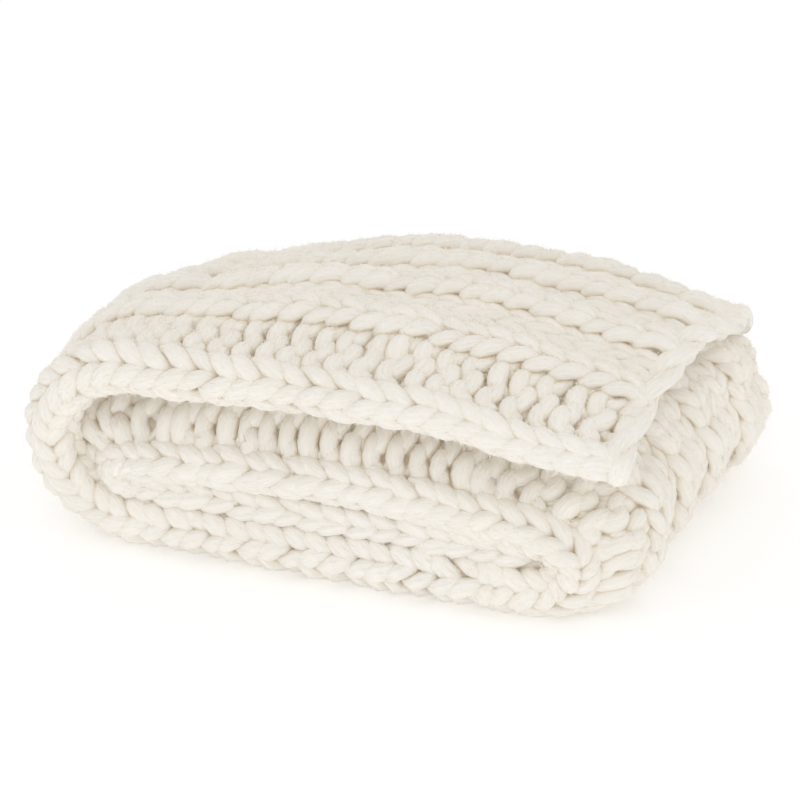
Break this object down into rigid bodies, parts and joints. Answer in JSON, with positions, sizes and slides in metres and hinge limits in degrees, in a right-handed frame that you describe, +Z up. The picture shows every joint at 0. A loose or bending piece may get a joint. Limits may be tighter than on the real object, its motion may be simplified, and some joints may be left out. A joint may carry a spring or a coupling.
{
  "type": "chunky knit blanket",
  "caption": "Folded blanket in thick cream roving wool, knitted in wide ribs, with rounded fold ends and curled knitted edges.",
  "frame": {"origin": "on the surface that the blanket rests on, under the middle of its bounding box", "axes": "+X runs left to right along the front edges of the layers, towards the cloth's free top end; +Y runs front to back along the folds; +Z is up"},
  "size_m": [0.6106, 0.3656, 0.234],
  "materials": {
    "wool": "matte"
  },
  "bodies": {
    "root": {"blanket": "wool"}
  },
  "joints": []
}
